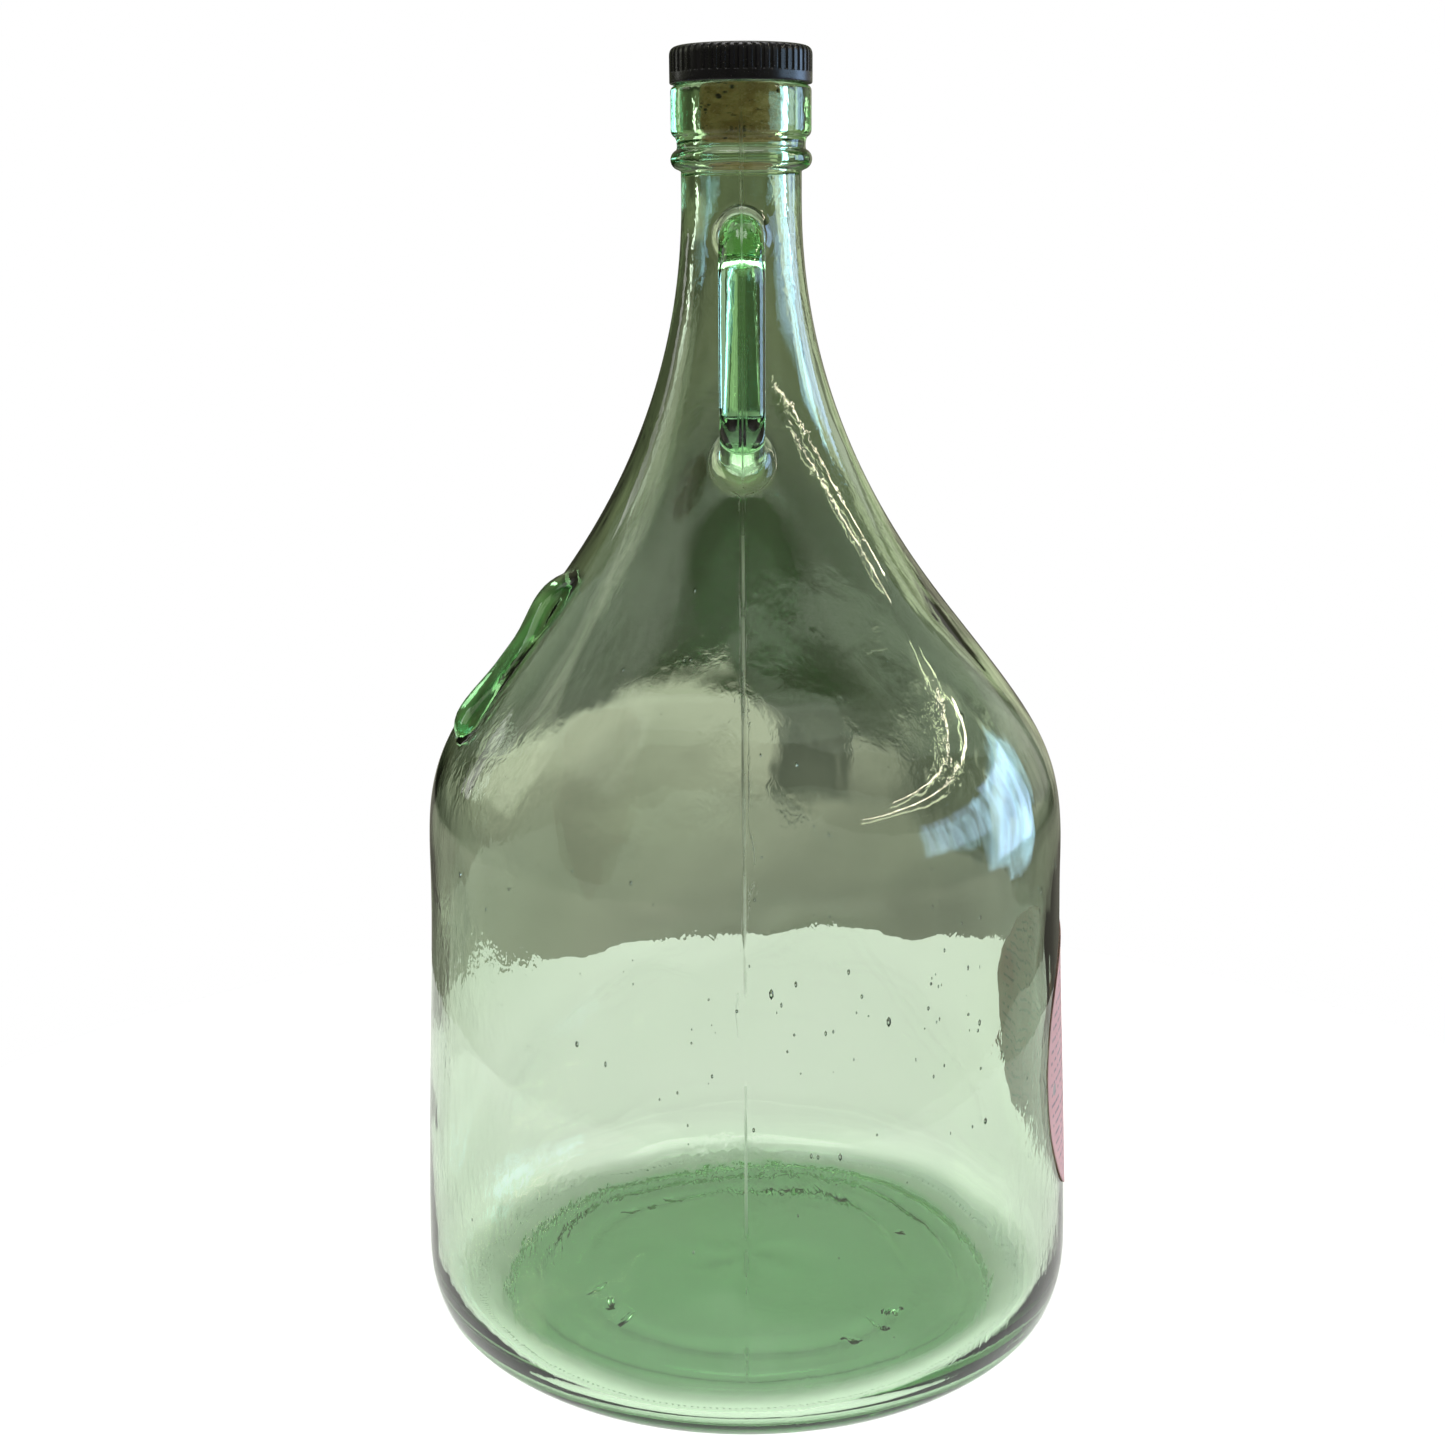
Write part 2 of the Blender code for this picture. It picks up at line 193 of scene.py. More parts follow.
def off_the_glass(points):
    """How far each point stands off the outer side, measured across the surface."""
    reach = np.hypot(points[..., 0], points[..., 1])
    height = points[..., 2]
    return (reach - side_radius(height)) / np.sqrt(1 + side_slope(height) ** 2)


# ---------------------------------------------------------------- mesh helpers


def grid_faces(rows, columns):
    """Quads between neighbouring rows of a grid that closes round its columns."""
    row = np.repeat(np.arange(rows - 1), columns)
    column = np.tile(np.arange(columns), rows - 1)
    after = (column + 1) % columns
    start = row * columns
    above = start + columns
    return np.stack([start + column, start + after, above + after, above + column], 1)


def mesh_object(name, points, quads, triangles, material=None, sharp=60):
    """A smooth-shaded object in the scene. Edges steeper than sharp degrees stay crisp."""
    faces = [tuple(q) for q in np.asarray(quads).tolist()] + [tuple(t) for t in triangles]
    mesh = bpy.data.meshes.new(name)
    mesh.from_pydata([tuple(p) for p in np.asarray(points).tolist()], [], faces)
    mesh.validate()
    mesh.update()
    mesh.shade_smooth()
    mesh.set_sharp_from_angle(angle=math.radians(sharp))
    if material:
        mesh.materials.append(material)
    piece = bpy.data.objects.new(name, mesh)
    bpy.context.scene.collection.objects.link(piece)
    return piece


def turned_grid(profile, angles, shift=None):
    """Points of a turned surface as (profile, angle, 3), moved by shift along each profile point's normal."""
    along = np.gradient(profile, axis=0)
    along /= np.linalg.norm(along, axis=1)[:, None] + 1e-12
    normal = np.stack([along[:, 1], -along[:, 0]], 1)
    radius = np.repeat(profile[:, :1], len(angles), 1)
    height = np.repeat(profile[:, 1:], len(angles), 1)
    if shift is not None:
        radius = radius + normal[:, :1] * shift
        height = height + normal[:, 1:] * shift
    return np.stack([radius * np.cos(angles), radius * np.sin(angles), height], 2)


def turned_solid(name, grid, material=None, sharp=60):
    """A closed solid from a turned grid whose first and last rows are on the axis."""
    rows, columns = grid.shape[:2]
    first = grid[0].mean(0)
    last = grid[-1].mean(0)
    points = np.concatenate([grid[1:-1].reshape(-1, 3), [first, last]])
    quads = grid_faces(rows - 2, columns)
    first_index = (rows - 2) * columns
    top = (rows - 3) * columns
    triangles = []
    for column in range(columns):
        after = (column + 1) % columns
        triangles.append((first_index, after, column))
        triangles.append((first_index + 1, top + column, top + after))
    return mesh_object(name, points, quads, triangles, material, sharp)


def waves(turn, height, seed, count, most_turns, most_per_metre):
    """A smooth, repeatable sum of waves round and up the carboy, about -1 to 1."""
    draw = np.random.default_rng(seed)
    total = np.zeros(np.broadcast(turn, height).shape)
    for _ in range(count):
        turns = draw.integers(0, most_turns + 1)
        per_metre = draw.uniform(-1, 1) * most_per_metre
        phase = draw.uniform(0, TAU)
        total += np.sin(turns * turn + TAU * per_metre * height + phase)
    return total / math.sqrt(count)


# ---------------------------------------------------------------- glass vessel

FRONT = -TAU / 4
BACK = TAU / 4
GRIP_TURN = math.radians(195)
SEAM_WIDTH = 0.30 * MM
SEAM_RISE = 0.16 * MM
GRIP_HALF_WIDTH = 9.6 * MM
GRIP_START = 177.5 * MM
GRIP_END = 222.0 * MM
GRIP_SADDLE = 1.8 * MM
GRIP_HUMPS = ((184 * MM, 13 * MM, 3.4 * MM), (214 * MM, 12 * MM, 4.1 * MM))
ROUND_STEPS = 164


def round_angles():
    """Angles round the carboy, closer together at both mould seams and at the shoulder grip."""
    angles = list(np.arange(ROUND_STEPS) * TAU / ROUND_STEPS)
    offsets = np.radians([0.0, 0.1, 0.2, 0.32, 0.46, 0.65, 0.95, 1.4, 2.1, 3.1])
    for seam in (FRONT, BACK):
        for offset in offsets:
            angles += [(seam + offset) % TAU, (seam - offset) % TAU]
    angles += [GRIP_TURN + math.radians(d) for d in np.arange(-11.5, 11.6, 0.5)]
    angles = np.sort(np.unique(np.round(angles, 7)))
    keep = [angles[0]]
    for angle in angles[1:]:
        if angle - keep[-1] > math.radians(0.085):
            keep.append(angle)
    return np.array(keep)


def turn_from(angles, centre):
    """The angle from centre, between minus half a turn and half a turn."""
    return (angles - centre + math.pi) % TAU - math.pi


def seam_shift(angles, radius, height):
    """The fine raised line that the two halves of the mould leave."""
    shift = np.zeros(np.broadcast(angles, radius).shape)
    wander = 0.05 * MM * np.sin(height * 190) + 0.03 * MM * np.sin(height * 613 + 1)
    strength = 0.65 + 0.35 * np.sin(height * 71 + 0.6) * np.sin(height * 29 + 2)
    for seam in (FRONT, BACK):
        across = turn_from(angles, seam) * radius + wander
        shift += SEAM_RISE * strength * np.exp(-((across / SEAM_WIDTH) ** 2))
    return shift


def grip_shift(angles, radius, height):
    """The low ridge down the shoulder: a hump at each end and a saddle between them."""
    across = np.abs(turn_from(angles, GRIP_TURN) * radius)
    rise = GRIP_SADDLE + np.zeros_like(height)
    for hump, reach, top in GRIP_HUMPS:
        share = 1 - smooth_step(0, reach, np.abs(height - hump))
        rise = np.maximum(rise, GRIP_SADDLE + (top - GRIP_SADDLE) * share)
    from_tip = np.minimum(height - GRIP_START, GRIP_END - height)
    missing = np.clip(1 - from_tip / (6 * MM), 0, 1)
    end_share = np.sqrt(np.clip(1 - missing**2, 0, 1))
    half_width = GRIP_HALF_WIDTH * (0.35 + 0.65 * end_share)
    inside = np.clip(1 - (across / half_width) ** 2, 0, 1)
    return np.where(from_tip > 0, rise * end_share * inside**0.5, 0)


def outer_shift(profile, angles):
    """How far the outside stands off its turned shape: waves, seams, grip, underside rings and heel line."""
    radius = profile[:, :1]
    height = profile[:, 1:]
    turn = angles[None, :]
    on_side = smooth_step(3 * MM, 14 * MM, height)
    below_finish = 1 - smooth_step(318 * MM, 326 * MM, height)
    outside = radius > BORE_R + 0.9 * MM
    share = radius / BODY_R
    shift = 0.075 * MM * share * waves(turn, height, 3, 26, 9, 22) * on_side * below_finish
    shift = shift + 0.012 * MM * waves(turn, height, 4, 30, 40, 60) * on_side * below_finish * share
    shift = shift + seam_shift(turn, np.maximum(radius, 1 * MM), height) * on_side * outside
    shift = shift + grip_shift(turn, radius, height)
    underside = (height < 6 * MM) & (radius < RING_INNER_R)
    ring_line = 0.8 * MM * np.exp(-(((radius - 64 * MM) / (1.1 * MM)) ** 2))
    ring_line = ring_line + 0.45 * MM * np.exp(-(((radius - 50 * MM) / (2.6 * MM)) ** 2))
    shift = shift + np.where(underside, ring_line, 0)
    dome_waves = 0.22 * MM * waves(turn, radius, 9, 14, 4, 25) * smooth_step(0, 12 * MM, radius)
    shift = shift + np.where(underside, dome_waves * (1 - smooth_step(58 * MM, 70 * MM, radius)), 0)
    heel_line = 0.28 * MM * np.exp(-(((height - 7.6 * MM) / (0.7 * MM)) ** 2))
    heel_line = heel_line - 0.2 * MM * np.exp(-(((height - 3.4 * MM) / (0.9 * MM)) ** 2))
    return shift + np.where(radius > RING_OUTER_R, heel_line, 0)


def inner_shift(profile, angles):
    """The inside is blown, not moulded, so it is wavier: the wall is never quite even."""
    radius = profile[:, :1]
    height = profile[:, 1:]
    turn = angles[None, :]
    share = np.clip(radius / BODY_R, 0, 1)
    away_from_middle = smooth_step(0, 14 * MM, radius)
    below_bore = 1 - smooth_step(300 * MM, 322 * MM, height)
    slow = 0.42 * MM * waves(turn, height, 21, 22, 6, 14)
    middle = 0.07 * MM * waves(turn, height, 22, 30, 22, 45)
    quick = 0.018 * MM * waves(turn, height, 23, 30, 60, 110)
    floor = 0.3 * MM * waves(turn, radius, 24, 16, 5, 24)
    on_floor = 1 - smooth_step(9 * MM, 24 * MM, height)
    side = (slow * share + middle * share + quick * share**0.5) * (1 - on_floor)
    return (side + floor * on_floor) * away_from_middle * below_bore


def glass_shell():
    """The vessel without its finger loop: outside and inside as one closed surface."""
    angles = round_angles()
    outer = outer_profile()
    inner = inner_profile()
    profile = np.concatenate([outer, inner])
    shift = np.concatenate([outer_shift(outer, angles), inner_shift(inner, angles)])
    shift[0] = shift[0].mean()
    shift[-1] = shift[-1].mean()
    return turned_solid("glass_shell", turned_grid(profile, angles, shift))


LOOP_BAR_R = 6.0 * MM
LOOP_SIDES = 44
FILLET_R = 4.2 * MM


def loop_centre_line():
    """The middle of the bar from the upper root to the lower one, as (distance from the axis, height)."""
    bend_top = (33.0 * MM, 301.8 * MM)
    bend_low = (33.0 * MM, 270.5 * MM)
    lower_root = (28.6 * MM, 253.4 * MM)
    leg = math.degrees(math.atan2(259.5 - 253.4, 33.0 - 28.6))
    top_arc = arc(bend_top, 11 * MM, 90, 0, 18)
    low_arc = arc(bend_low, 11 * MM, 0, -90 + leg, 14)
    start = straight((20.0 * MM, 312.85 * MM), top_arc[0], 12)
    end = straight(low_arc[-1], lower_root, 20)
    return chain(start, top_arc, straight(top_arc[-1], low_arc[0], 26), low_arc, end)


def across_ring(along):
    """Directions round the bar, with x across it; more of them near the parting plane, where the seam is."""
    turn = np.arange(LOOP_SIDES) * TAU / LOOP_SIDES
    turn = turn + 0.22 * np.sin(2 * turn)
    outwards = np.array([0, along[2], -along[1]])
    sideways = np.array([1.0, 0, 0])
    return np.cos(turn)[:, None] * sideways + np.sin(turn)[:, None] * outwards


def bar_seam(points, ring):
    """Raises the mould seam along the outside and the inside of the bar."""
    near = np.exp(-((points[:, 0] / (0.36 * MM)) ** 2))
    return points + ring * (0.2 * MM * near)[:, None]


def root_rings(start, along, depths):
    """Rings that widen into the neck like a trumpet. A whole ring is the same depth off the glass."""
    rings = []
    ring = across_ring(along)
    for depth in depths:
        missing = max(FILLET_R - max(depth + 0.12 * MM, 0), 0)
        widening = FILLET_R - math.sqrt(FILLET_R**2 - missing**2)
        rim = start + ring * (LOOP_BAR_R + widening)
        near = np.full(LOOP_SIDES, -12 * MM)
        far = np.full(LOOP_SIDES, 24 * MM)
        for _ in range(44):
            middle = (near + far) / 2
            outside = off_the_glass(rim + middle[:, None] * along) > depth
            near = np.where(outside, middle, near)
            far = np.where(outside, far, middle)
        rings.append(rim + near[:, None] * along)
    return rings


def finger_loop():
    """The bar of the loop with a widened root at each end, both sunk in the neck wall."""
    line = loop_centre_line()
    centres = np.stack([np.zeros(len(line)), -line[:, 0], line[:, 1]], 1)
    depths = np.array([-1.0, -0.55, -0.25, 0.0, 0.25, 0.55, 0.9, 1.35, 1.9, 2.6, 3.4, 4.3]) * MM
    top_along = (centres[0] - centres[1]) / np.linalg.norm(centres[0] - centres[1])
    low_along = (centres[-1] - centres[-2]) / np.linalg.norm(centres[-1] - centres[-2])
    top = root_rings(centres[0], top_along, depths)
    low = root_rings(centres[-1], low_along, depths[::-1])
    top_limit = min(((top[-1] - centres[0]) @ top_along).tolist()) - 0.5 * MM
    low_limit = min(((low[0] - centres[-1]) @ low_along).tolist()) - 0.5 * MM
    tangent = np.gradient(centres, axis=0)
    tangent /= np.linalg.norm(tangent, axis=1)[:, None]
    middle = []
    for centre, along in zip(centres, tangent):
        if (centre - centres[0]) @ top_along > top_limit or (centre - centres[-1]) @ low_along > low_limit:
            continue
        ring = across_ring(along)
        middle.append(bar_seam(centre + ring * LOOP_BAR_R, ring))
    # The upper root looks at the neck and the bar's rings look away from it, so its points are reversed.
    order = np.argmax(across_ring(-top_along) @ across_ring(top_along).T, axis=1)
    rings = [ring[order] for ring in top] + middle + low
    count = len(rings)
    quads = grid_faces(count, LOOP_SIDES)
    # The end caps lie inside the neck wall.
    ends = [rings[0].mean(0), rings[-1].mean(0)]
    points = np.concatenate([*rings, ends])
    first = count * LOOP_SIDES
    last_row = (count - 1) * LOOP_SIDES
    triangles = []
    for i in range(LOOP_SIDES):
        j = (i + 1) % LOOP_SIDES
        triangles.append((first, j, i))
        triangles.append((first + 1, last_row + i, last_row + j))
    return mesh_object("finger_loop_shape", points, quads, triangles)


def face_out(piece):
    """Turns all faces outwards."""
    shape = bmesh.new()
    shape.from_mesh(piece.data)
    bmesh.ops.recalc_face_normals(shape, faces=shape.faces)
    shape.to_mesh(piece.data)
    shape.free()
    piece.data.shade_smooth()


def ellipsoid_cloud(name, places, detail=1, inside_out=False):
    """Many small ellipsoids in one mesh. Each place is (centre, rotation, half sizes)."""
    shape = bmesh.new()
    for centre, turn, sizes in places:
        matrix = Matrix.Translation(centre) @ turn.to_4x4() @ Matrix.Diagonal((*sizes, 1))
        bmesh.ops.create_icosphere(shape, subdivisions=detail, radius=1, matrix=matrix)
    if inside_out:
        bmesh.ops.reverse_faces(shape, faces=shape.faces)
    mesh = bpy.data.meshes.new(name)
    shape.to_mesh(mesh)
    shape.free()
    mesh.shade_smooth()
    piece = bpy.data.objects.new(name, mesh)
    bpy.context.scene.collection.objects.link(piece)
    return piece


KNURL_COUNT = 288
KNURL_R = 81.9 * MM


def knurls():
    """Short slanted dents all round the standing ring, which keep a hot bottle from sticking."""
    places = []
    for i in range(KNURL_COUNT):
        turn = TAU * (i + 0.5) / KNURL_COUNT
        centre = Vector((KNURL_R * math.cos(turn), KNURL_R * math.sin(turn), 0.02 * MM))
        rotation = Euler((0, 0, turn + 0.35)).to_matrix()
        places.append((centre, rotation, (1.4 * MM, 0.38 * MM, 0.26 * MM)))
    return ellipsoid_cloud("knurl_shape", places, detail=1)


def base_marks():
    """Plain raised bars on the underside, in place of mould marks."""
    places = []
    # Degrees round the axis, distance from it in mm, slant in degrees, length in mm
    bars = (
        (200, 48, 20, 3.4),
        (212, 47, 70, 3.0),
        (224, 48, 10, 3.2),
        (138, 50, 60, 3.2),
        (128, 49, 120, 2.8),
        (118, 50, 40, 3.4),
        (318, 50, 0, 3.2),
        (329, 49, 80, 3.0),
        (305, 51, 45, 2.6),
        (20, 52, 15, 2.6),
    )
    for degrees, radius, slant, length in bars:
        turn = math.radians(degrees)
        centre = Vector((radius * MM * math.cos(turn), radius * MM * math.sin(turn), 3.75 * MM))
        rotation = Euler((0, 0, turn + math.radians(slant))).to_matrix()
        places.append((centre, rotation, (length * 1.2 * MM, 1.05 * MM, 1.5 * MM)))
    return ellipsoid_cloud("mark_shape", places, detail=2)


SEED_COUNT = 190


def seeds():
    """Small bubbles in the wall, drawn out upwards. They are hollows, so their faces look inwards."""
    draw = np.random.default_rng(77)
    places = []
    for _ in range(SEED_COUNT):
        height = draw.uniform(14, 232) * MM
        turn = draw.uniform(0, TAU)
        if draw.random() < 0.3:
            height = draw.normal(118, 22) * MM
            turn = FRONT + draw.normal(0.5, 0.4)
        depth = draw.uniform(0.9, 2.1) * MM
        size = draw.uniform(0.14, 0.42) * MM
        if draw.random() < 0.12:
            size *= 1.7
        stretch = draw.uniform(1.0, 2.6)
        slope = float(side_slope(height))
        inwards = Vector((-math.cos(turn), -math.sin(turn), slope)).normalized()
        reach = float(side_radius(height))
        centre = Vector((reach * math.cos(turn), reach * math.sin(turn), height)) + inwards * depth
        upright = Vector((slope * math.cos(turn), slope * math.sin(turn), 1))
        rotation = upright.to_track_quat("Z", "Y").to_matrix()
        places.append((centre, rotation, (size, size, size * stretch)))
    return ellipsoid_cloud("seed_shape", places, detail=1, inside_out=True)


def combine(base, other, operation):
    """Joins other to base, or cuts it out of base, and removes other."""
    modifier = base.modifiers.new("join", "BOOLEAN")
    modifier.operation = operation
    modifier.solver = "MANIFOLD"
    modifier.object = other
    graph = bpy.context.evaluated_depsgraph_get()
    joined = bpy.data.meshes.new_from_object(base.evaluated_get(graph), depsgraph=graph)
    base.modifiers.clear()
    base.data = joined
    bpy.data.objects.remove(other)


def glass_vessel(material):
    """Shell, loop, knurls, marks and bubbles as one mesh, because they are one piece of glass."""
    vessel = glass_shell()
    face_out(vessel)
    loop = finger_loop()
    face_out(loop)
    combine(vessel, loop, "UNION")
    combine(vessel, knurls(), "DIFFERENCE")
    combine(vessel, base_marks(), "UNION")
    shape = bmesh.new()
    shape.from_mesh(vessel.data)
    bubbles = seeds()
    shape.from_mesh(bubbles.data)
    bpy.data.objects.remove(bubbles)
    shape.to_mesh(vessel.data)
    shape.free()
    vessel.data.shade_smooth()
    vessel.data.set_sharp_from_angle(angle=math.radians(70))
    vessel.data.materials.clear()
    vessel.data.materials.append(material)
    vessel.name = "vessel_glass"
    vessel.data.name = "vessel_glass"
    return vessel


# ---------------------------------------------------------------- stopper


def stopper_head(material):
    """A ribbed plastic head: smooth band below, ribs above, soft edge, slightly domed top."""
    low = head_low.z
    top = head_high.z
    radius = head_high.x
    rib_count = 52
    rib_depth = 0.5 * MM
    edge_r = 2.5 * MM
    shoulder = top - 0.75 * MM
    ribs_low = low + 2.75 * MM
    ribs_high = top - 1.75 * MM
    profile = chain(
        straight((0, low + 2.4 * MM), (11.5 * MM, low + 2.4 * MM), 4),
        bezier(
            (11.5 * MM, low + 2.4 * MM),
            (11.7 * MM, low + 2.4 * MM),
            (11.7 * MM, low + 2.3 * MM),
            (11.7 * MM, low + 2.2 * MM),
            2,
        ),
        straight((11.7 * MM, low + 2.2 * MM), (11.7 * MM, low + 0.3 * MM), 2),
        bezier((11.7 * MM, low + 0.3 * MM), (11.7 * MM, low), (11.8 * MM, low), (12.0 * MM, low), 2),
        straight((12.0 * MM, low), (18.8 * MM, low), 4),
        bezier((18.8 * MM, low), (19.1 * MM, low), (radius, low + 0.1 * MM), (radius, low + 0.5 * MM), 4),
        straight((radius, low + 0.5 * MM), (radius, ribs_low - 0.25 * MM), 3),
        straight((radius, ribs_low - 0.25 * MM), (radius, ribs_low + 0.35 * MM), 4),
        straight((radius, ribs_low + 0.35 * MM), (radius, ribs_high - 1.4 * MM), 6),
        bezier(
            (radius, ribs_high - 1.4 * MM),
            (radius, shoulder - 0.7 * MM),
            (radius - 0.9 * MM, shoulder),
            (radius - edge_r, shoulder + 0.12 * MM),
            16,
        ),
        bezier(
            (radius - edge_r, shoulder + 0.12 * MM),
            (radius - edge_r - 0.4 * MM, shoulder + 0.18 * MM),
            (radius - edge_r - 0.5 * MM, shoulder - 0.02 * MM),
            (radius - edge_r - 0.9 * MM, shoulder),
            5,
        ),
        bezier(
            (radius - edge_r - 0.9 * MM, shoulder),
            (12 * MM, shoulder + 0.3 * MM),
            (6 * MM, top),
            (0, top),
            14,
        ),
    )
    columns = rib_count * 10
    angles = np.arange(columns) * TAU / columns
    height = profile[:, 1:]
    reach = profile[:, :1]
    land = smooth_step(-0.55, 0.2, np.cos(rib_count * angles))[None, :]
    outside = smooth_step(radius - 1.2 * MM, radius - 0.35 * MM, reach)
    ribbed = smooth_step(ribs_low - 0.1 * MM, ribs_low + 0.2 * MM, height) * outside
    shift = -rib_depth * (1 - land) * ribbed
    grid = turned_grid(profile, angles, shift)
    return turned_solid("stopper_cap", grid, material, sharp=50)


def cork_shank(material):
    """A short cork with a softened lower edge and scattered pits."""
    low = cork_low.z
    top = cork_high.z
    radius = cork_high.x
    profile = chain(
        straight((0, low), (radius - 1.6 * MM, low), 12),
        bezier(
            (radius - 1.6 * MM, low),
            (radius - 0.7 * MM, low),
            (radius - 0.4 * MM, low + 0.5 * MM),
            (radius - 0.35 * MM, low + 1.2 * MM),
            6,
        ),
        straight((radius - 0.35 * MM, low + 1.2 * MM), (radius, top - 0.9 * MM), 40),
        straight((radius, top - 0.9 * MM), (radius, top), 2),
        straight((radius, top), (0, top), 4),
    )
    angles = np.arange(170) * TAU / 170
    grid = turned_grid(profile, angles)
    rows, columns = grid.shape[:2]
    pit_depth = np.zeros((rows, columns))
    for i in range(1, rows - 6):
        for j in range(columns):
            point = Vector(grid[i, j])
            stretched = Vector((point.x, point.y, point.z * 1.9))
            near = noise.voronoi(stretched * 380)[0][0]
            chosen = noise.noise(stretched * 160 + Vector((7, 1, 3)))
            grain = noise.fractal(stretched * 900, 0.7, 2.1, 3)
            pit = max(0.0, 1 - near / 0.42) * max(0.0, min(1.0, (chosen - 0.02) * 5))
            pit_depth[i, j] = pit
            shift = -0.55 * MM * pit + 0.035 * MM * grain
            outwards = Vector((point.x, point.y, 0))
            if profile[i, 1] <= low + 1e-6:
                grid[i, j, 2] -= shift
            elif outwards.length > 0:
                grid[i, j] += np.array(outwards.normalized()) * min(shift, 0)
    piece = turned_solid("stopper_cork", grid, material)
    pits = piece.data.attributes.new("pit", "FLOAT", "POINT")
    values = np.concatenate([pit_depth[1:-1].reshape(-1), [0, 0]]).astype(np.float32)
    pits.data.foreach_set("value", values)
    return piece


def glue_blob(material):
    """A thin squeezed-out disc of glue with an uneven edge."""
    low = glue_low.z
    top = glue_high.z
    radius = glue_high.x
    half = (top - low) / 2
    profile = chain(
        straight((0, low), (radius - half, low), 6),
        arc((radius - half, (low + top) / 2), half, -90, 90, 8),
        straight((radius - half, top), (0, top), 6),
    )
    angles = np.arange(96) * TAU / 96
    grid = turned_grid(profile, angles)
    scale = 1 - 0.035 * (1 + waves(angles, 0.0, 5, 8, 7, 0)) * 0.5
    grid[..., 0] *= scale
    grid[..., 1] *= scale
    return turned_solid("stopper_glue", grid, material)


# ---------------------------------------------------------------- label


def paper_label(material):
    """A round paper label wrapped on the body, with a few soft creases."""
    centre = (label_low.z + label_high.z) / 2
    label_r = (label_high.z - label_low.z) / 2
    ring_count, sides = 44, 160
    draw = np.random.default_rng(12)
    creases = [(draw.uniform(0, TAU), draw.uniform(0.2, 0.95), draw.uniform(0.4, 1)) for _ in range(7)]
    points, uvs = [], []
    for lift in (0.06 * MM, 0.2 * MM):
        for ring in range(ring_count + 1):
            share = ring / ring_count
            for step in range(sides if ring else 1):
                angle = TAU * step / sides
                edge = 1 + 0.004 * math.sin(5 * angle + 1) + 0.003 * math.sin(13 * angle)
                across = label_r * share * edge * math.cos(angle)
                up = label_r * share * edge * math.sin(angle)
                crease = 0.0
                for crease_angle, place, strength in creases:
                    off = across * math.cos(crease_angle) + up * math.sin(crease_angle)
                    off -= label_r * (place - 0.5)
                    crease += strength * math.exp(-((off / (0.5 * MM)) ** 2))
                slow = noise.noise(Vector((across, up, 0)) * 90)
                rise = 0.04 * MM * crease + 0.05 * MM * (slow + 1)
                edge_lift = 0.12 * MM * max(0.0, share - 0.93) / 0.07 * (0.5 + 0.5 * math.sin(3 * angle + 2))
                height = centre + up
                radius = float(side_radius(height)) + lift + rise + edge_lift
                turn = across / float(side_radius(height))
                points.append((radius * math.cos(turn), radius * math.sin(turn), height))
                uvs.append((across / label_r / 2 + 0.5, up / label_r / 2 + 0.5))
    per_layer = 1 + ring_count * sides

    def index(layer, ring, step):
        if ring == 0:
            return layer * per_layer
        return layer * per_layer + 1 + (ring - 1) * sides + step % sides

    quads, triangles = [], []
    for layer in (0, 1):
        for i in range(sides):
            corners = (index(layer, 0, 0), index(layer, 1, i), index(layer, 1, i + 1))
            triangles.append(corners if layer else corners[::-1])
            for ring in range(1, ring_count):
                corners = (
                    index(layer, ring, i),
                    index(layer, ring + 1, i),
                    index(layer, ring + 1, i + 1),
                    index(layer, ring, i + 1),
                )
                quads.append(corners if layer else corners[::-1])
    for i in range(sides):
        back = (index(0, ring_count, i), index(0, ring_count, i + 1))
        front = (index(1, ring_count, i + 1), index(1, ring_count, i))
        quads.append(back + front)
    piece = mesh_object("side_label", points, quads, triangles, material, sharp=50)
    face_out(piece)
    piece.data.set_sharp_from_angle(angle=math.radians(50))
    layer = piece.data.uv_layers.new(name="print")
    corner_vertices = np.zeros(len(piece.data.loops), np.int32)
    piece.data.loops.foreach_get("vertex_index", corner_vertices)
    layer.data.foreach_set("uv", np.array(uvs, np.float32)[corner_vertices].reshape(-1))
    return piece


# ---------------------------------------------------------------- node helpers


